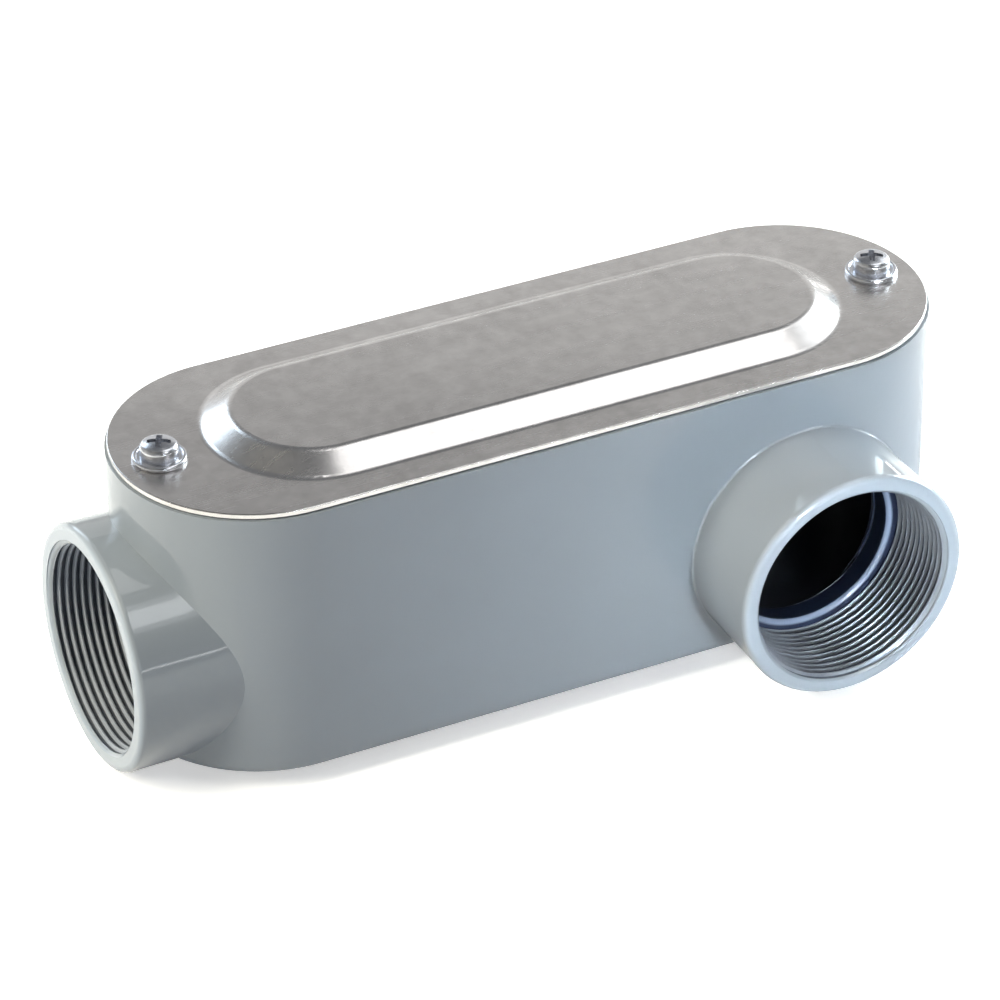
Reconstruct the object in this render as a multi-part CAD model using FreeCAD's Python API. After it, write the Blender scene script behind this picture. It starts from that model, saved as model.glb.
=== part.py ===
import FreeCAD, Part
import math
import os

from FreeCAD import Vector

# A threaded conduit body with one hub on its end and one on its side, closed by a screwed-on cover.
# Millimetres.  +X runs along the body away from the end hub, +Y away from the side hub, +Z up to the
# cover.  The origin is the centre of the body's flat back.

# --- the box of the casting ---
end_centre_distance = 161.7       # between the axes of the two rounded ends
body_radius = 39.6                # outside of the rounded ends, half the width
body_height = 80.8                # flat back to machined rim
wall_thickness = 3.5
floor_thickness = 3.5
back_edge_round = 2.4
floor_corner_round = 2.0

# --- threaded hubs ---
end_hub_radius = 34.65            # at the face
side_hub_radius = 34.0
hub_draft = 0.3                   # how much slimmer a hub is where it meets the box
hub_face_round = 1.9
hub_root_round = 0.7
thread_root_radius = 30.05        # 2 in taper pipe thread, bored here to the root of the thread
thread_depth = 24.8               # hub face to the shoulder of the bushing
bushing_radius = 25.0             # smooth throat the wires pass
bushing_lip_round = 1.4
end_bushing_length = 5.1

end_hub_projection = 9.95         # face beyond the crown of the rounded end
end_hub_height = 29.0             # axis above the back

side_hub_projection = 29.0        # face beyond the flat side
side_hub_height = 31.15
side_hub_end_distance = 55.4      # axis to the crown of the far end

# --- gasket ---
gasket_thickness = 0.6
gasket_edge_inset = 0.3           # behind the edge of the cover
gasket_end_land = 24.5            # whole part of the gasket at each end, round the screw

# --- cover ---
cover_edge_inset = 0.6            # behind the side of the casting
cover_thickness = 1.3
cover_edge_round = 0.35
panel_side_margin = 9.6           # flange beside the panel, to where the slope starts
panel_end_margin = 26.2           # flange beyond the panel's end, which holds the screw
panel_slope_run = 7.6             # level length of the slope
panel_height = 4.5
panel_bend_radius = 3.6           # on the upper face

# --- cover screws ---
screw_end_distance = 12.45        # axis to the crown of the casting's end
screw_shank_radius = 2.4          # No. 10 screw
screw_length = 17.0               # under the flange
screw_tip_chamfer = 0.8
screw_flange_radius = 7.4
screw_flange_thickness = 0.9      # of the dish between the head and the rim
screw_rim_section = 0.75          # radius of the rounded rim's section
screw_head_radius = 5.2
screw_head_side = 3.6             # cover to the top of the head's straight side
screw_head_shoulder = 1.6         # radius of the rounded shoulder
screw_head_dome = 12.0            # radius of the crown
screw_recess_length = 6.3
screw_recess_width = 1.6
screw_recess_depth = 2.9
screw_recess_turn = 63.0          # of the cross about the screw, as both were driven home

screw_hole_clearance = 0.1        # round the shank in its tapped hole
cover_hole_clearance = 0.5        # round the shank in the cover and the gasket

# --- bosses for the screws ---
boss_radius = 6.2
boss_length = 22.0
boss_hole_depth = 19.0

# how far a cutting tool runs past the face it starts from
overrun = 5.0

body_half_length = end_centre_distance / 2 + body_radius
rim_level = body_height
gasket_top = rim_level + gasket_thickness
cover_top = gasket_top + cover_thickness
cover_radius = body_radius - cover_edge_inset
panel_foot_radius = cover_radius - panel_side_margin
panel_brow_radius = panel_foot_radius - panel_slope_run
panel_centre_distance = end_centre_distance + 2 * (panel_side_margin - panel_end_margin)
end_hub_face = body_half_length + end_hub_projection
side_hub_face = body_radius + side_hub_projection
side_hub_along = body_half_length - side_hub_end_distance
screw_reach = body_half_length - screw_end_distance
screw_places = [("near", -screw_reach), ("far", screw_reach)]


def stadium_face(centre_distance, radius, level):
    """Flat face with two straight sides along X and two round ends."""
    half = centre_distance / 2
    corners = [Vector(-half, -radius, level), Vector(half, -radius, level),
               Vector(half, radius, level), Vector(-half, radius, level)]
    far_end = Part.Arc(corners[1], Vector(half + radius, 0, level), corners[2]).toShape()
    near_end = Part.Arc(corners[3], Vector(-half - radius, 0, level), corners[0]).toShape()
    sides = [Part.makeLine(corners[0], corners[1]), Part.makeLine(corners[2], corners[3])]
    return Part.Face(Part.Wire([sides[0], far_end, sides[1], near_end]))


def stadium_block(centre_distance, radius, bottom, top):
    """Upright block on a stadium outline."""
    return stadium_face(centre_distance, radius, bottom).extrude(Vector(0, 0, top - bottom))


def edges_at_level(shape, level):
    """Edges that lie flat at one height."""
    found = []
    for edge in shape.Edges:
        box = edge.BoundBox
        if abs(box.ZMin - level) < 1e-4 and abs(box.ZMax - level) < 1e-4:
            found.append(edge)
    return found


def bent_line(points, radii):
    """Edges of a line through the points, with each inner corner bent to its radius."""
    edges = []
    start = points[0]
    for index in range(1, len(points) - 1):
        corner = points[index]
        back = (points[index - 1] - corner).normalize()
        ahead = (points[index + 1] - corner).normalize()
        half_angle = back.getAngle(ahead) / 2
        reach = radii[index - 1] / math.tan(half_angle)
        first = corner + back * reach
        last = corner + ahead * reach
        middle_way = (back + ahead).normalize()
        centre = corner + middle_way * (radii[index - 1] / math.sin(half_angle))
        middle = centre - middle_way * radii[index - 1]
        edges.append(Part.makeLine(start, first))
        edges.append(Part.Arc(first, middle, last).toShape())
        start = last
    edges.append(Part.makeLine(start, points[-1]))
    return edges


def turned(edges, place):
    """Solid of revolution about an upright axis, from a closed profile in the XZ plane."""
    profile = Part.Face(Part.Wire(Part.__sortEdges__(edges)))
    solid = profile.revolve(Vector(0, 0, 0), Vector(0, 0, 1), 360)
    solid.translate(place)
    return solid


def hub_axis_x(radius, start, end):
    """Cylinder on the axis of the end hub."""
    return Part.makeCylinder(radius, end - start, Vector(start, 0, end_hub_height), Vector(1, 0, 0))


def hub_axis_y(radius, start, end):
    """Cylinder on the axis of the side hub."""
    centre = Vector(side_hub_along, start, side_hub_height)
    return Part.makeCylinder(radius, end - start, centre, Vector(0, 1, 0))


def hub_outside(radius, centre, inward, length):
    """Outside of a hub, from its face at the centre, a little slimmer towards the box."""
    return Part.makeCone(radius, radius - hub_draft, length, centre, inward)


def softened(shape, radius, axis, place):
    """Round the circular edges that lie at one place along an axis."""
    chosen = []
    for edge in shape.Edges:
        box = edge.BoundBox
        low = box.XMin if axis == "x" else box.YMin
        high = box.XMax if axis == "x" else box.YMax
        if abs(low - place) < 1e-4 and abs(high - place) < 1e-4:
            chosen.append(edge)
    return shape.makeFillet(radius, chosen)


def hub_bore(make_cylinder, axis, face, shoulder, throat_end):
    """Everything cut from a hub: the thread's bore and the throat with its two rounded lips."""
    bore = make_cylinder(thread_root_radius, face - overrun, shoulder)
    throat = make_cylinder(bushing_radius, shoulder - overrun, throat_end + overrun)
    lips = []
    for lip_face, inward in [(shoulder, 1), (throat_end, -1)]:
        lip = lip_ring(inward)
        if axis == "x":
            lip.rotate(Vector(0, 0, 0), Vector(0, 1, 0), 90)
            lip.translate(Vector(lip_face, 0, end_hub_height))
        else:
            lip.rotate(Vector(0, 0, 0), Vector(1, 0, 0), -90)
            lip.translate(Vector(side_hub_along, lip_face, side_hub_height))
        lips.append(lip)
    return bore.fuse([throat] + lips)


def lip_ring(inward):
    """Ring that, cut from the throat's edge, leaves it rounded.  Its axis is Z and its face is at 0."""
    size = bushing_lip_round
    outer = Vector(bushing_radius + size, 0, 0)
    deep = Vector(bushing_radius, 0, inward * size)
    inner = Vector(bushing_radius, 0, 0)
    centre = Vector(bushing_radius + size, 0, inward * size)
    middle = centre + Vector(-size, 0, -inward * size) * math.sqrt(0.5)
    curve = Part.Arc(outer, middle, deep).toShape()
    edges = [Part.makeLine(inner, outer), curve, Part.makeLine(deep, inner)]
    return turned(edges, Vector(0, 0, 0))


def root_flare():
    """Small fillet where the side hub leaves the flat wall."""
    size = hub_root_round
    radius = side_hub_radius - hub_draft
    foot = Vector(radius + size, 0, 0)
    top = Vector(radius, 0, size)
    corner = Vector(radius - wall_thickness, 0, 0)
    corner_top = Vector(radius - wall_thickness, 0, size)
    middle = Vector(radius + size, 0, size) - Vector(size, 0, size) * math.sqrt(0.5)
    edges = [Part.makeLine(corner, foot), Part.Arc(foot, middle, top).toShape(),
             Part.makeLine(top, corner_top), Part.makeLine(corner_top, corner)]
    flare = turned(edges, Vector(0, 0, 0))
    flare.rotate(Vector(0, 0, 0), Vector(1, 0, 0), 90)
    flare.translate(Vector(side_hub_along, -body_radius, side_hub_height))
    reach = 2 * (side_hub_radius + size)
    corner = Vector(side_hub_along - reach / 2, -body_radius - reach / 2, back_edge_round)
    return flare.common(Part.makeBox(reach, reach, reach, corner))


def screw_boss(place):
    """Upright boss under a cover screw, joined by a web to the end wall."""
    outward = math.copysign(1, place)
    bottom = rim_level - boss_length
    post = Part.makeCylinder(boss_radius, boss_length, Vector(place, 0, bottom))
    wall_middle = outward * (body_half_length - wall_thickness / 2)
    start = min(place, wall_middle)
    web_corner = Vector(start, -boss_radius, bottom)
    web = Part.makeBox(abs(wall_middle - place), 2 * boss_radius, boss_length, web_corner)
    return post.fuse(web)


def build_casting():
    """The casting: box, hubs with their integral bushings, and screw bosses, all one piece."""
    block = stadium_block(end_centre_distance, body_radius, 0, body_height)
    block = block.makeFillet(back_edge_round, edges_at_level(block, 0))
    cavity_radius = body_radius - wall_thickness
    cavity = stadium_block(end_centre_distance, cavity_radius, floor_thickness, body_height + overrun)
    cavity = cavity.makeFillet(floor_corner_round, edges_at_level(cavity, floor_thickness))

    end_face = -end_hub_face
    end_shoulder = end_face + thread_depth
    end_throat = end_shoulder + end_bushing_length
    end_centre = Vector(end_face, 0, end_hub_height)
    end_hub = hub_outside(end_hub_radius, end_centre, Vector(1, 0, 0), end_throat - end_face)
    end_hub = softened(end_hub, hub_face_round, "x", end_face)

    side_face = -side_hub_face
    side_shoulder = side_face + thread_depth
    side_throat = -(body_radius - wall_thickness)
    side_centre = Vector(side_hub_along, side_face, side_hub_height)
    side_hub = hub_outside(side_hub_radius, side_centre, Vector(0, 1, 0), side_throat - side_face)
    side_hub = softened(side_hub, hub_face_round, "y", side_face)

    bosses = [screw_boss(place) for name, place in screw_places]
    casting = block.cut(cavity).fuse([end_hub, side_hub, root_flare()] + bosses)
    casting = casting.cut(hub_bore(hub_axis_x, "x", end_face, end_shoulder, end_throat))
    casting = casting.cut(hub_bore(hub_axis_y, "y", side_face, side_shoulder, side_throat))
    for name, place in screw_places:
        hole_radius = screw_shank_radius + screw_hole_clearance
        hole_floor = Vector(place, 0, rim_level - boss_hole_depth)
        casting = casting.cut(Part.makeCylinder(hole_radius, boss_hole_depth + overrun, hole_floor))
    return casting.removeSplitter()


def screw_clearance_hole(place):
    """Hole for a screw through the gasket or the cover."""
    radius = screw_shank_radius + cover_hole_clearance
    return Part.makeCylinder(radius, 2 * overrun, Vector(place, 0, gasket_top - overrun))


def build_gasket():
    """Flat gasket, open over the wiring space and whole round the screws."""
    sheet = stadium_block(end_centre_distance, cover_radius - gasket_edge_inset, rim_level, gasket_top)
    opening_radius = body_radius - wall_thickness
    opening_half_length = body_half_length - cover_edge_inset - gasket_edge_inset - gasket_end_land
    opening_centre_distance = 2 * (opening_half_length - opening_radius)
    sheet = sheet.cut(stadium_block(opening_centre_distance, opening_radius,
                                    rim_level - overrun, gasket_top + overrun))
    for name, place in screw_places:
        sheet = sheet.cut(screw_clearance_hole(place))
    return sheet


def panel_shell(plate_hole_radius):
    """Raised, hollow centre panel, bent up from the flange by a long slope."""
    slope = math.atan2(panel_height, panel_foot_radius - panel_brow_radius)
    shift = cover_thickness * math.tan(slope / 2)
    panel_top = cover_top + panel_height
    upper = [Vector(plate_hole_radius, 0, cover_top), Vector(panel_foot_radius, 0, cover_top),
             Vector(panel_brow_radius, 0, panel_top), Vector(0, 0, panel_top)]
    lower = [Vector(plate_hole_radius, 0, cover_top - cover_thickness),
             Vector(panel_foot_radius - shift, 0, cover_top - cover_thickness),
             Vector(panel_brow_radius - shift, 0, panel_top - cover_thickness),
             Vector(0, 0, panel_top - cover_thickness)]
    outside = bent_line(upper, [panel_bend_radius, panel_bend_radius])
    inside = bent_line(lower, [panel_bend_radius + cover_thickness, panel_bend_radius - cover_thickness])
    edges = outside + inside + [Part.makeLine(upper[0], lower[0]), Part.makeLine(upper[-1], lower[-1])]
    half_section = Part.Face(Part.Wire(Part.__sortEdges__(edges)))

    half = panel_centre_distance / 2
    round_end = half_section.revolve(Vector(0, 0, 0), Vector(0, 0, 1), 180)
    round_end.rotate(Vector(0, 0, 0), Vector(0, 0, 1), -90)
    far_end = round_end.copy()
    far_end.translate(Vector(half, 0, 0))
    near_end = round_end.copy()
    near_end.rotate(Vector(0, 0, 0), Vector(0, 0, 1), 180)
    near_end.translate(Vector(-half, 0, 0))
    side_section = half_section.copy()
    side_section.rotate(Vector(0, 0, 0), Vector(0, 0, 1), 90)
    side_section.translate(Vector(-half, 0, 0))
    back_side = side_section.extrude(Vector(panel_centre_distance, 0, 0))
    front_side = back_side.copy()
    front_side.rotate(Vector(0, 0, 0), Vector(0, 0, 1), 180)
    return [far_end, near_end, back_side, front_side]


def build_cover():
    """Stamped sheet cover."""
    plate = stadium_block(end_centre_distance, cover_radius, gasket_top, cover_top)
    plate = plate.makeFillet(cover_edge_round, edges_at_level(plate, cover_top))
    plate_hole_radius = panel_foot_radius + panel_bend_radius
    hole = stadium_block(panel_centre_distance, plate_hole_radius,
                         gasket_top - overrun, cover_top + overrun)
    cover = plate.cut(hole).fuse(panel_shell(plate_hole_radius))
    for name, place in screw_places:
        cover = cover.cut(screw_clearance_hole(place))
    return cover.removeSplitter()


def screw_head_outline():
    """The head's side, shoulder and crown, and the height of the crown above the cover."""
    shoulder = screw_head_shoulder
    side_top = Vector(screw_head_radius, 0, screw_head_side)
    shoulder_centre = side_top - Vector(shoulder, 0, 0)
    drop = math.sqrt((screw_head_dome - shoulder) ** 2 - shoulder_centre.x ** 2)
    dome_centre = Vector(0, 0, shoulder_centre.z - drop)
    up = Vector(0, 0, 1)
    meeting_way = (shoulder_centre - dome_centre).normalize()
    meeting = dome_centre + meeting_way * screw_head_dome
    crown = dome_centre + up * screw_head_dome
    shoulder_middle = shoulder_centre + (Vector(1, 0, 0) + meeting_way).normalize() * shoulder
    dome_middle = dome_centre + (up + meeting_way).normalize() * screw_head_dome
    edges = [
        Part.makeLine(Vector(screw_head_radius, 0, screw_flange_thickness), side_top),
        Part.Arc(side_top, shoulder_middle, meeting).toShape(),
        Part.Arc(meeting, dome_middle, crown).toShape(),
    ]
    return edges, crown.z


def build_screw(place):
    """Cover screw with a cross-recess pan head and an integral dished flange."""
    tip = -screw_length
    shank = screw_shank_radius
    rim = screw_rim_section
    rim_centre = Vector(screw_flange_radius - rim, 0, rim)
    rim_start = Vector(rim_centre.x, 0, 0)
    rim_middle = rim_centre + Vector(rim, 0, rim) * math.sqrt(0.5)
    dish_rise = screw_flange_thickness - rim
    dish_edge = Vector(rim_centre.x - math.sqrt(rim ** 2 - dish_rise ** 2), 0, screw_flange_thickness)
    head_edges, crown = screw_head_outline()
    edges = head_edges + [
        Part.makeLine(Vector(0, 0, tip), Vector(shank - screw_tip_chamfer, 0, tip)),
        Part.makeLine(Vector(shank - screw_tip_chamfer, 0, tip), Vector(shank, 0, tip + screw_tip_chamfer)),
        Part.makeLine(Vector(shank, 0, tip + screw_tip_chamfer), Vector(shank, 0, 0)),
        Part.makeLine(Vector(shank, 0, 0), rim_start),
        Part.Arc(rim_start, rim_middle, dish_edge).toShape(),
        Part.makeLine(dish_edge, Vector(screw_head_radius, 0, screw_flange_thickness)),
        Part.makeLine(Vector(0, 0, crown), Vector(0, 0, tip)),
    ]
    screw = turned(edges, Vector(0, 0, 0))
    length = screw_recess_length
    width = screw_recess_width
    for turn in (screw_recess_turn, screw_recess_turn + 90):
        slot_corner = Vector(-length / 2, -width / 2, crown - screw_recess_depth)
        slot = Part.makeBox(length, width, screw_recess_depth + overrun, slot_corner)
        slot.rotate(Vector(0, 0, 0), Vector(0, 0, 1), turn)
        screw = screw.cut(slot)
    screw.translate(Vector(place, 0, cover_top))
    return screw


def write_part(name, shape):
    solid = shape
    if shape.ShapeType != "Solid":
        solid = shape.Solids[0]
    solid.exportStep(os.path.join("parts", name + ".step"))


os.makedirs("parts", exist_ok=True)
write_part("cast_body", build_casting())
write_part("cover_gasket", build_gasket())
write_part("cover", build_cover())
for name, place in screw_places:
    write_part("cover_screw_" + name, build_screw(place))
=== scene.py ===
import bpy
import bmesh
import math
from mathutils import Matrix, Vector


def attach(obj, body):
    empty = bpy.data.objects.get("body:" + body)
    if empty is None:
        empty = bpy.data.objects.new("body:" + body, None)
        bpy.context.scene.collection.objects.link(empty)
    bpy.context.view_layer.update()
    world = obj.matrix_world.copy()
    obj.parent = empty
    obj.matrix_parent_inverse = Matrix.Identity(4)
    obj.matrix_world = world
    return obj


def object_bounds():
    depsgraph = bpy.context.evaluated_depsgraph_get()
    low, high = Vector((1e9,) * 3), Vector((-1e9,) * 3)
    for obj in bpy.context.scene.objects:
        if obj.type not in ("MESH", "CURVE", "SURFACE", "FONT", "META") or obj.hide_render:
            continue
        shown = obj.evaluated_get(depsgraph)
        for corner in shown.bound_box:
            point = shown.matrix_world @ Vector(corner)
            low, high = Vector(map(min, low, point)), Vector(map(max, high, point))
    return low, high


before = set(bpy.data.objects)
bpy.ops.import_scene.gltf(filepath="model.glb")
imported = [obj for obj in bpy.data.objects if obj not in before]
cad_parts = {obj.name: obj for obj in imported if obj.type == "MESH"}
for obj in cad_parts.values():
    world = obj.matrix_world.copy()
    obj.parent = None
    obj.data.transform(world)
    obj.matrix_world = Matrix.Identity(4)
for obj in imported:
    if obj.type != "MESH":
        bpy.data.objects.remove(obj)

cad_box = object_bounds()

# ---------------------------------------------------------------- sizes, in metres, as in the CAD
MM = 0.001
END_HUB_FACE = Vector((-130.4 * MM, 0, 29.0 * MM))
SIDE_HUB_FACE = Vector((65.05 * MM, -68.6 * MM, 31.15 * MM))
THREAD_PITCH = 25.4 / 11.5 * MM
THREAD_DEPTH = 24.8 * MM
BORE_RADIUS = 30.05 * MM
BUSHING_RADIUS = 25.0 * MM       # of the throat
BUSHING_LIP = 1.4 * MM
BOX_HALF_CENTRES = 80.85 * MM    # from the middle to the centre of each round end
CAVITY_RADIUS = 36.1 * MM
CAVITY_FLOOR = 3.5 * MM
RIM_HEIGHT = 80.8 * MM

# ---------------------------------------------------------------- the thread in the hubs
THREAD_ROOT_AT_FACE = 29.95 * MM
THREAD_CREST_AT_FACE = 28.6 * MM
THREAD_TAPER = 1 / 32            # of the radius along the depth
MOUTH_RADIUS = 30.0 * MM         # where the chamfer starts at the face, at 45 degrees
CHAMFER_DEPTH = 1.3 * MM         # how deep the chamfer's paint reaches
CHAMFER_SLACK = 0.03 * MM        # how far a painted face may lie inside the chamfer's cone
CREST_SHARE = 0.14               # of the pitch, on which the profile is flat at the crest
ROOT_SHARE = 0.16                # the same at the root
GROOVE_SHADE_SHARE = 0.6               # of the thread's height, beyond which the groove gets painted shade
STEPS_ROUND = 216                # round the bore
STEPS_A_TURN = 14                # along the depth
SPARE_TURNS = 3                  # past both ends of the thread, drawn in to them and merged there
MERGE_DISTANCE = 1e-7

# ---------------------------------------------------------------- colours, as 8-bit display values
ENAMEL = ((143, 150, 157), (149, 156, 163))      # the darker and the lighter shade
SHEET = ((216, 213, 211), (238, 235, 233))
PLATE = ((214, 216, 222), (232, 233, 237))
GASKET = ((92, 96, 100), (112, 116, 120))
# the groove colours are darker than the crest colours as painted shade in the thread's recesses
SIDE_CREST = ((136, 142, 152), (158, 164, 174))
SIDE_GROOVE_SHADE = ((84, 90, 101), (104, 110, 121))
# the end hub's thread colours are lighter than the side hub's, as painted light for the light that reaches
# the end bore less
END_CREST = ((176, 182, 190), (196, 201, 208))
END_GROOVE_SHADE = ((92, 97, 106), (112, 116, 123))
FACE_COLOUR = (176, 186, 196)    # paint on a hub's face
INSIDE_SHADE_COLOUR = (58, 61, 68)     # painted shade inside the box
SHOULDER_SHADE_COLOUR = (54, 63, 88)   # painted shade on the relief behind the last thread
LIP_HIGHLIGHT_COLOUR = (156, 170, 196)     # painted highlight on the bushing's rounded edge
# painted shade in the bushing's throat
THROAT_SHADE_COLOUR = (36, 45, 68)
SHADE_STOPS = (0.3, 0.7)         # of a noise, where the darker and the lighter shade are full
SUM_STOPS = (0.7, 1.3)           # the same for the sum of two noises
BRUSH_ROUGHNESS = (0.25, 0.28)

# ---------------------------------------------------------------- where a colour fades in
# in mm past the edge that is named: where the colour starts, and where it is full
PAINT_FADE = (1.1, 0.2)          # a hub's face
HUB_FADE = (34.0, 33.0)          # a hub's face, for all that lies inside its bore
THREAD_END_FADE = (-0.4, -0.2)   # the end of the thread
BORE_FADE = (0.3, 0.1)           # the bore's wall
THROAT_FADE = (0.05, 0.15)       # the throat's radius
LIP_FADE = (0.5, -0.2)           # the outside of the lip
SHOULDER_FADE = (0.0, 0.1)       # the outside of the lip
CAVITY_WALL_FADE = (0.4, 0.2)
CAVITY_FLOOR_FADE = (-0.3, -0.1)
RIM_FADE = (-0.05, -0.2)

# ---------------------------------------------------------------- floor, world and light
FLOOR_LEVEL = cad_box[0][2]
FLOOR_GAP = 0.2 * MM
FLOOR_HALF_WIDTH = 6.0
FLOOR_SEEN = (0.96, 0.96, 0.96, 1)     # the floor's colour to the camera and in reflections
FLOOR_BOUNCE = (0.26, 0.30, 0.37, 1)   # its colour to the light that it sends on to the object
FLOOR_GLOW = 0.50                # its own light to the camera, which keeps it white round the shadow
FLOOR_GLOW_MIRRORED = 0.12       # its own light in reflections
WHITE = (1, 1, 1, 1)

# sine of the height above the horizon, brightness, blueness
WORLD_BANDS = [(-1.0, 0.28, 0.0), (0.0, 0.45, 0.0), (0.40, 0.36, 0.0), (0.56, 0.25, 0.0),
               (0.70, 0.14, 0.1), (0.86, 0.11, 0.1), (1.0, 0.20, 0.1)]
WORLD_GREEN = 0.4                # of the blueness, so that a blue band isn't violet
WORLD_FRONT = 0.38               # share of that brightness towards the viewer's side
WORLD_REACH = 0.6                # sine of the angle to the front and to the back, between which it changes

LEFT_WINDOW = ((-1.47, -0.05, 1.28), (-0.10, 0, 0.04), (0.6, 1.2))
WARM = (1.0, 0.96, 0.82)
# name, place, aim, size, power in watts, colour, and spread in degrees where the lamp is a beam
LAMPS = [
    ("left_warm", *LEFT_WINDOW, 40.0, WARM),
    ("left_gleam", *LEFT_WINDOW, 20.0, WARM),
    ("front_left", (-0.65, -0.80, 0.35), (0, -0.04, 0.04), (0.4, 0.4), 0.20, (0.96, 0.99, 1.0)),
    ("front_beam", (0.05, -1.05, 0.24), (0.085, -0.04, 0.04), (0.16, 0.16), 0.115, (0.80, 0.91, 1.0), 17),
    ("front_high", (0.226, -0.685, 0.86), (-0.115, -0.025, 0.055), (0.36, 0.44), 0.70, (0.95, 0.98, 1.0)),
    ("front_core", (0.220, -0.673, 0.845), (-0.115, -0.025, 0.055), (0.22, 0.26), 0.55, (0.95, 0.98, 1.0)),
    ("right_cool", (0.84, 0.16, 0.30), (0.11, 0, 0.04), (0.40, 0.40), 6.6, (0.82, 0.95, 1.0)),
    ("over_right", (0.50, -0.04, 1.25), (0, -0.02, 0.08), (0.62, 0.62), 2.1, (1.0, 1.0, 1.0)),
    ("right_card", (0.85, 0.20, 0.62), (0, 0, 0.08), (0.55, 0.60), 1.4, (0.96, 0.98, 1.0)),
    ("back_left", (-0.30, 1.06, 0.58), (-0.08, 0, 0.08), (0.36, 0.80), 2.8, (0.70, 0.85, 1.0)),
    ("back_card", (0.10, 0.27, 0.185), (0.0, 0.0, 0.185), (1.0, 0.19), 0.185, (1.0, 0.99, 0.97)),
    ("far_window", (0.92, 0.80, 0.07), (0.08, -0.05, 0.06), (0.045, 0.045), 0.05, (1.0, 1.0, 1.0)),
    ("horizon_strip", (0.45, -1.9, 0.19), (-0.1, -0.03, 0.04), (2.2, 0.035), 2.0, (1.0, 1.0, 1.0)),
]
MATT_ONLY = "left_warm"          # lights what is matt; as a mirror image it would burn out the cover
MIRRORED_ONLY = "left_gleam"     # the same window as it is mirrored

# ---------------------------------------------------------------- camera, as solved from the photograph
CAMERA_LENS = 176.56             # in mm, and so is the sensor
CAMERA_SENSOR = 36.0
CAMERA_CLIP = (0.05, 50.0)
CAMERA_PLACE = (-0.51795, -1.00861, 0.77470)
CAMERA_TURN = (56.9984, -0.0805, -26.7752)       # degrees about x, y and z, from looking straight down


# ---------------------------------------------------------------- node trees
MIX_FACTOR, MIX_A, MIX_B, MIX_RESULT = 0, 6, 7, 2    # the Mix node's sockets for colours


def srgb(colour):
    """Linear colour from 8-bit display values."""
    out = []
    for value in colour:
        c = value / 255
        out.append(c / 12.92 if c <= 0.04045 else ((c + 0.055) / 1.055) ** 2.4)
    return tuple(out) + (1.0,)


class Tree:
    """Adds nodes to a node tree. An input takes another node's output, a number or a colour."""

    def __init__(self, tree):
        self.nodes = tree.nodes
        self.links = tree.links

    def feed(self, socket, value):
        if isinstance(value, bpy.types.NodeSocket):
            self.links.new(value, socket)
        else:
            socket.default_value = value

    def math(self, operation, a, b=None):
        node = self.nodes.new("ShaderNodeMath")
        node.operation = operation
        self.feed(node.inputs[0], a)
        if b is not None:
            self.feed(node.inputs[1], b)
        return node.outputs[0]

    def mix(self, factor, a, b):
        """Colour a where the factor is 0, and colour b where it is 1."""
        node = self.nodes.new("ShaderNodeMix")
        node.data_type = "RGBA"
        self.feed(node.inputs[MIX_FACTOR], factor)
        self.feed(node.inputs[MIX_A], a)
        self.feed(node.inputs[MIX_B], b)
        return node.outputs[MIX_RESULT]

    def map_range(self, value, start, full, low=0.0, high=1.0):
        """Low up to start, high from full on, and even between them."""
        node = self.nodes.new("ShaderNodeMapRange")
        node.inputs["From Min"].default_value = start
        node.inputs["From Max"].default_value = full
        node.inputs["To Min"].default_value = low
        node.inputs["To Max"].default_value = high
        self.links.new(value, node.inputs["Value"])
        return node.outputs["Result"]

    def fade(self, value, edge, fade):
        """Rises from 0 to 1 between two distances from an edge, which are given in mm."""
        start, full = fade
        return self.map_range(value, edge + start * MM, edge + full * MM)

    def distance(self, a, b):
        """Length of a vector with these two coordinates."""
        squares = [self.math("MULTIPLY", value, value) for value in (a, b)]
        return self.math("SQRT", self.math("ADD", *squares))

    def ramp(self, value, stops):
        node = self.nodes.new("ShaderNodeValToRGB")
        elements = node.color_ramp.elements
        elements[0].position, elements[0].color = stops[0]
        elements[1].position, elements[1].color = stops[-1]
        for position, colour in stops[1:-1]:
            elements.new(position).color = colour
        self.links.new(value, node.inputs["Fac"])
        return node.outputs["Color"]

    def shades(self, value, colours, stops=SHADE_STOPS):
        """Colour from a darker to a lighter shade."""
        return self.ramp(value, [(stop, srgb(colour)) for stop, colour in zip(stops, colours)])

    def position(self):
        """The three coordinates of the object's own space, in metres."""
        coord = self.nodes.new("ShaderNodeTexCoord")
        split = self.nodes.new("ShaderNodeSeparateXYZ")
        self.links.new(coord.outputs["Object"], split.inputs[0])
        return split.outputs

    def noise(self, scale, detail, rough=0.5, stretch=(1, 1, 1)):
        """Noise in the object's own coordinates, in metres."""
        coord = self.nodes.new("ShaderNodeTexCoord")
        mapping = self.nodes.new("ShaderNodeMapping")
        mapping.inputs["Scale"].default_value = stretch
        texture = self.nodes.new("ShaderNodeTexNoise")
        texture.inputs["Scale"].default_value = scale
        texture.inputs["Detail"].default_value = detail
        texture.inputs["Roughness"].default_value = rough
        self.links.new(coord.outputs["Object"], mapping.inputs["Vector"])
        self.links.new(mapping.outputs["Vector"], texture.inputs["Vector"])
        return texture.outputs["Fac"]

    def bump(self, bsdf, height, strength, distance):
        node = self.nodes.new("ShaderNodeBump")
        node.inputs["Strength"].default_value = strength
        node.inputs["Distance"].default_value = distance
        self.links.new(height, node.inputs["Height"])
        self.links.new(node.outputs["Normal"], bsdf.inputs["Normal"])


def new_material(name):
    mat = bpy.data.materials.new(name)
    mat.use_nodes = True
    return mat, Tree(mat.node_tree), mat.node_tree.nodes["Principled BSDF"]


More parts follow.
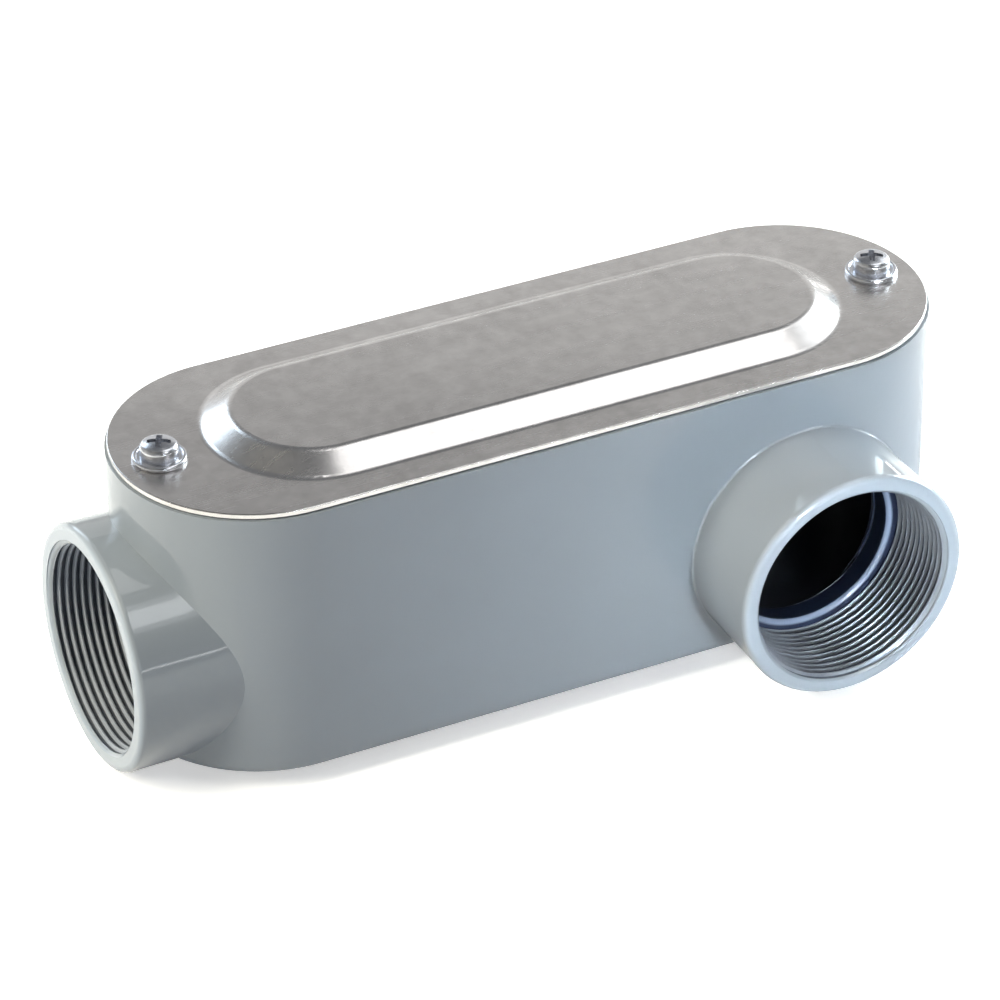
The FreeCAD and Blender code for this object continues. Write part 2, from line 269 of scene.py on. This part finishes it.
# ---------------------------------------------------------------- materials
def bushing_shade_and_highlight(tree, colour, radius, depth):
    """Painted shade on the relief behind the thread, a painted highlight on the lip and painted shade in
    the throat, over the colour that is given.
    """
    lip_outside = BUSHING_RADIUS + BUSHING_LIP
    on_shoulder = tree.fade(radius, lip_outside, SHOULDER_FADE)
    on_lip = tree.math("MULTIPLY",
                       tree.fade(radius, BUSHING_RADIUS, THROAT_FADE),
                       tree.fade(radius, lip_outside, LIP_FADE))
    dark = tree.mix(on_shoulder, srgb(THROAT_SHADE_COLOUR), srgb(SHOULDER_SHADE_COLOUR))
    ring = tree.mix(on_lip, dark, srgb(LIP_HIGHLIGHT_COLOUR))
    behind = tree.math("MULTIPLY",
                       tree.fade(depth, THREAD_DEPTH, THREAD_END_FADE),
                       tree.fade(radius, BORE_RADIUS, BORE_FADE))
    return tree.mix(behind, colour, ring)


def hub_shade_and_highlight(tree, colour, along, across, face, centre):
    """The colour with the painted shade and highlight of a hub's bushing in it, from the coordinates along
    and across the hub's axis.
    """
    offsets = [tree.math("SUBTRACT", value, middle) for value, middle in zip(across, centre)]
    depth = tree.math("SUBTRACT", along, face)
    in_hub = tree.fade(along, face, HUB_FADE)
    return tree.mix(in_hub, colour, bushing_shade_and_highlight(tree, colour, tree.distance(*offsets), depth))


def cavity_shade_mask(tree, x, y, z):
    """1 on the walls and the floor inside the box, where shade is painted, and 0 outside it."""
    past_centre = tree.math("SUBTRACT", tree.math("ABSOLUTE", x), BOX_HALF_CENTRES)
    reach = tree.distance(tree.math("MAXIMUM", past_centre, 0.0), y)
    inside = tree.math("MULTIPLY",
                       tree.fade(reach, CAVITY_RADIUS, CAVITY_WALL_FADE),
                       tree.fade(z, CAVITY_FLOOR, CAVITY_FLOOR_FADE))
    return tree.math("MULTIPLY", inside, tree.fade(z, RIM_HEIGHT, RIM_FADE))


def enamel():
    """Glossy grey enamel, paler on the hubs' faces, with painted shade and a painted highlight behind the
    thread and painted shade in the box.
    """
    mat, tree, bsdf = new_material("grey_enamel")
    x, y, z = tree.position()
    colour = tree.shades(tree.noise(scale=14.0, detail=3.0), ENAMEL)
    on_face = tree.math("MAXIMUM",
                        tree.fade(x, END_HUB_FACE.x, PAINT_FADE),
                        tree.fade(y, SIDE_HUB_FACE.y, PAINT_FADE))
    colour = tree.mix(on_face, colour, srgb(FACE_COLOUR))
    # painted shade and a painted highlight in each hub's bushing
    colour = hub_shade_and_highlight(tree, colour, x, (y, z), END_HUB_FACE.x, END_HUB_FACE.yz)
    colour = hub_shade_and_highlight(tree, colour, y, (x, z), SIDE_HUB_FACE.y, SIDE_HUB_FACE.xz)
    # painted shade inside the box
    colour = tree.mix(cavity_shade_mask(tree, x, y, z), colour, srgb(INSIDE_SHADE_COLOUR))
    tree.links.new(colour, bsdf.inputs["Base Color"])
    bsdf.inputs["Roughness"].default_value = 0.34
    bsdf.inputs["Coat Weight"].default_value = 1.0
    bsdf.inputs["Coat Roughness"].default_value = 0.07
    bsdf.inputs["Coat IOR"].default_value = 1.5
    tree.bump(bsdf, tree.noise(scale=330.0, detail=2.0), strength=0.08, distance=0.0004)
    return mat


def sheet_metal():
    """Satin aluminium sheet, faintly brushed along its length, with the clouds of handling."""
    mat, tree, bsdf = new_material("cover_sheet")
    brush = tree.noise(scale=900.0, detail=3.0, rough=0.6, stretch=(0.03, 1, 0.3))
    cloud = tree.noise(scale=26.0, detail=4.0, rough=0.6)
    speck = tree.noise(scale=210.0, detail=3.0, rough=0.6)
    stain = tree.map_range(tree.math("ADD", cloud, speck), *SUM_STOPS)
    tree.links.new(tree.shades(stain, SHEET, stops=(0.0, 1.0)), bsdf.inputs["Base Color"])
    tree.links.new(tree.map_range(brush, *SHADE_STOPS, *BRUSH_ROUGHNESS), bsdf.inputs["Roughness"])
    bsdf.inputs["Metallic"].default_value = 1.0
    tree.bump(bsdf, brush, strength=0.012, distance=0.0001)
    return mat


def gasket_sheet():
    """Grey fibre sheet."""
    mat, tree, bsdf = new_material("gasket")
    fibre = tree.noise(scale=600.0, detail=4.0)
    tree.links.new(tree.shades(fibre, GASKET), bsdf.inputs["Base Color"])
    bsdf.inputs["Roughness"].default_value = 0.8
    tree.bump(bsdf, fibre, strength=0.3, distance=0.0002)
    return mat


def bright_plate():
    """Bright zinc plate of the screws."""
    mat, tree, bsdf = new_material("screw_plate")
    fine = tree.noise(scale=700.0, detail=3.0)
    tree.links.new(tree.shades(fine, PLATE), bsdf.inputs["Base Color"])
    bsdf.inputs["Metallic"].default_value = 1.0
    bsdf.inputs["Roughness"].default_value = 0.27
    tree.bump(bsdf, fine, strength=0.05, distance=0.0001)
    return mat


def thread_metal(name, colours):
    """Cut aluminium of the tapped thread, with stains of cutting oil, in the colours given, which carry
    painted shade in the grooves and painted light in the end hub.
    """
    mat, tree, bsdf = new_material(name)
    stain = tree.noise(scale=120.0, detail=5.0, rough=0.6)
    tree.links.new(tree.shades(stain, colours), bsdf.inputs["Base Color"])
    bsdf.inputs["Metallic"].default_value = 0.4
    bsdf.inputs["Roughness"].default_value = 0.42
    tree.bump(bsdf, stain, strength=0.1, distance=0.0002)
    return mat


grey_enamel = enamel()
cover_sheet = sheet_metal()
gasket = gasket_sheet()
screw_plate = bright_plate()
# the groove materials' darker colours are painted shade in the thread's recesses
side_thread = (thread_metal("side_thread_metal", SIDE_CREST),
               thread_metal("side_thread_groove_shade", SIDE_GROOVE_SHADE))
# the end hub's thread materials are lighter as painted light for the end bore, which gets less light
end_thread = (thread_metal("end_thread_metal", END_CREST),
              thread_metal("end_thread_groove_shade", END_GROOVE_SHADE))
NODE_MATERIAL = {
    "cast_body": grey_enamel,
    "cover": cover_sheet,
    "cover_gasket": gasket,
    "cover_screw_near": screw_plate,
    "cover_screw_far": screw_plate,
}
for node_name, material in NODE_MATERIAL.items():
    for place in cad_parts[node_name].material_slots:
        place.material = material


# ---------------------------------------------------------------- threads in the hubs
CREST_SLOT, CHAMFER_SLOT, GROOVE_SHADE_SLOT = 0, 1, 2


def profile_height(u):
    """0 at the crest and 1 at the root, for the place in one turn."""
    from_crest = abs((u % 1.0) - 0.5) * 2        # 0 in the middle of the crest, 1 in that of the root
    flank = (from_crest - CREST_SHARE) / (1 - CREST_SHARE - ROOT_SHARE)
    return min(max(flank, 0.0), 1.0)


def crest_radius(depth):
    return THREAD_CREST_AT_FACE - depth * THREAD_TAPER


def thread_radius(turn, depth):
    """Radius of the tapped wall at an angle, in turns, and a depth from the face."""
    height = (THREAD_ROOT_AT_FACE - THREAD_CREST_AT_FACE) * profile_height(depth / THREAD_PITCH - turn)
    return max(crest_radius(depth) + height, MOUTH_RADIUS - depth)


def thread_rows(bm, face, inward, across):
    """Points of the tapped wall: one row along the depth for each step round the bore."""
    third = inward.cross(across)
    turns = int(THREAD_DEPTH / THREAD_PITCH) + SPARE_TURNS
    rows = []
    for step in range(STEPS_ROUND + 1):
        turn = step / STEPS_ROUND
        angle = 2 * math.pi * turn
        outward = across * math.cos(angle) + third * math.sin(angle)
        row = []
        for k in range(turns * STEPS_A_TURN + 1):
            wanted = (k / STEPS_A_TURN - 1 + turn) * THREAD_PITCH
            depth = min(max(wanted, 0.0), THREAD_DEPTH)
            row.append(bm.verts.new(face + inward * depth + outward * thread_radius(turn, depth)))
        rows.append(row)
    return rows


def thread_slot(depth, radius):
    """Material slot of a face of the tapped wall."""
    groove = crest_radius(depth) + GROOVE_SHADE_SHARE * (THREAD_ROOT_AT_FACE - THREAD_CREST_AT_FACE)
    if radius > MOUTH_RADIUS - depth - CHAMFER_SLACK and depth < CHAMFER_DEPTH:
        return CHAMFER_SLOT
    return GROOVE_SHADE_SLOT if radius > groove else CREST_SLOT


def split_point(point, face, inward):
    """Depth of a point along a hub's axis, and its vector out from that axis."""
    depth = (point - face).dot(inward)
    return depth, point - face - inward * depth


def open_edges(bm):
    return [edge for edge in bm.edges if len(edge.link_faces) == 1]


def thread_sleeve(name, face, inward, across, metals):
    """Closed sleeve with a right-hand thread inside it and a painted chamfer at its mouth."""
    bm = bmesh.new()
    rows = thread_rows(bm, face, inward, across)
    for here, there in zip(rows, rows[1:]):
        for k in range(len(here) - 1):
            bm.faces.new((here[k], here[k + 1], there[k + 1], there[k]))
    bmesh.ops.remove_doubles(bm, verts=bm.verts, dist=MERGE_DISTANCE)
    bmesh.ops.dissolve_degenerate(bm, dist=MERGE_DISTANCE, edges=bm.edges)
    for wall in bm.faces:
        depth, radial = split_point(wall.calc_center_median(), face, inward)
        wall.material_index = thread_slot(depth, radial.length)
    made = bmesh.ops.extrude_edge_only(bm, edges=open_edges(bm))
    for vert in made["geom"]:
        if isinstance(vert, bmesh.types.BMVert):
            depth, radial = split_point(vert.co, face, inward)
            vert.co = face + inward * depth + radial.normalized() * BORE_RADIUS
    bmesh.ops.bridge_loops(bm, edges=open_edges(bm))
    bmesh.ops.recalc_face_normals(bm, faces=bm.faces)
    mesh = bpy.data.meshes.new(name)
    bm.to_mesh(mesh)
    bm.free()
    crest_metal, groove_shade_metal = metals
    for mat in (crest_metal, grey_enamel, groove_shade_metal):
        mesh.materials.append(mat)
    obj = bpy.data.objects.new(name, mesh)
    bpy.context.scene.collection.objects.link(obj)
    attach(obj, "root")


thread_sleeve("end_hub_thread_turns", END_HUB_FACE, Vector((1, 0, 0)), Vector((0, 1, 0)), end_thread)
thread_sleeve("side_hub_thread_turns", SIDE_HUB_FACE, Vector((0, 1, 0)), Vector((0, 0, 1)), side_thread)


# ---------------------------------------------------------------- studio
def floor():
    """Plain pale floor, white to the camera and dim to the light that it sends on to the object."""
    bm = bmesh.new()
    bmesh.ops.create_grid(bm, x_segments=1, y_segments=1, size=FLOOR_HALF_WIDTH)
    mesh = bpy.data.meshes.new("floor")
    bm.to_mesh(mesh)
    bm.free()
    obj = bpy.data.objects.new("floor", mesh)
    obj.location = (0, 0, FLOOR_LEVEL - FLOOR_GAP)
    bpy.context.scene.collection.objects.link(obj)
    mat, tree, bsdf = new_material("floor")
    path = tree.nodes.new("ShaderNodeLightPath")
    camera_ray = path.outputs["Is Camera Ray"]
    mirrored = tree.math("MAXIMUM", path.outputs["Is Glossy Ray"], path.outputs["Is Transmission Ray"])
    seen = tree.math("MAXIMUM", camera_ray, mirrored)
    tree.links.new(tree.mix(seen, FLOOR_BOUNCE, FLOOR_SEEN), bsdf.inputs["Base Color"])
    glow = tree.math("MAXIMUM",
                     tree.math("MULTIPLY", camera_ray, FLOOR_GLOW),
                     tree.math("MULTIPLY", mirrored, FLOOR_GLOW_MIRRORED))
    tree.links.new(glow, bsdf.inputs["Emission Strength"])
    bsdf.inputs["Emission Color"].default_value = WHITE
    bsdf.inputs["Roughness"].default_value = 0.9
    bsdf.inputs["Specular IOR Level"].default_value = 0.0
    mesh.materials.append(mat)


def world_light():
    """Studio surround: pale near the horizon, greyer higher up and on the viewer's side."""
    world = bpy.data.worlds.new("studio")
    bpy.context.scene.world = world
    world.use_nodes = True
    tree = Tree(world.node_tree)
    background = tree.nodes["Background"]
    coord = tree.nodes.new("ShaderNodeTexCoord")
    split = tree.nodes.new("ShaderNodeSeparateXYZ")
    tree.links.new(coord.outputs["Generated"], split.inputs[0])
    depth = split.outputs[1]
    height = split.outputs[2]
    stops = []
    for sine, value, blue in WORLD_BANDS:
        stops.append(((sine + 1) / 2, (value, value * (1 + blue * WORLD_GREEN), value * (1 + blue), 1)))
    colour = tree.ramp(tree.map_range(height, -1.0, 1.0), stops)
    tree.links.new(colour, background.inputs["Color"])
    strength = tree.map_range(depth, -WORLD_REACH, WORLD_REACH, WORLD_FRONT, 1.0)
    tree.links.new(strength, background.inputs["Strength"])


def area_light(name, place, aim, size, power, colour, spread=180):
    data = bpy.data.lights.new(name, "AREA")
    data.shape = "RECTANGLE"
    data.size, data.size_y = size
    data.energy = power
    data.color = colour
    data.spread = math.radians(spread)
    obj = bpy.data.objects.new(name, data)
    obj.location = place
    way = Vector(aim) - Vector(place)
    obj.rotation_euler = way.to_track_quat("-Z", "Y").to_euler()
    obj.visible_glossy = name != MATT_ONLY
    obj.visible_diffuse = name != MIRRORED_ONLY
    bpy.context.scene.collection.objects.link(obj)


def camera():
    data = bpy.data.cameras.new("camera")
    data.lens = CAMERA_LENS
    data.sensor_width = CAMERA_SENSOR
    data.clip_start, data.clip_end = CAMERA_CLIP
    obj = bpy.data.objects.new("camera", data)
    obj.location = CAMERA_PLACE
    obj.rotation_euler = [math.radians(angle) for angle in CAMERA_TURN]
    bpy.context.scene.collection.objects.link(obj)
    bpy.context.scene.camera = obj


floor()
world_light()
for lamp in LAMPS:
    area_light(*lamp)
camera()
bpy.context.scene.view_settings.view_transform = "Standard"
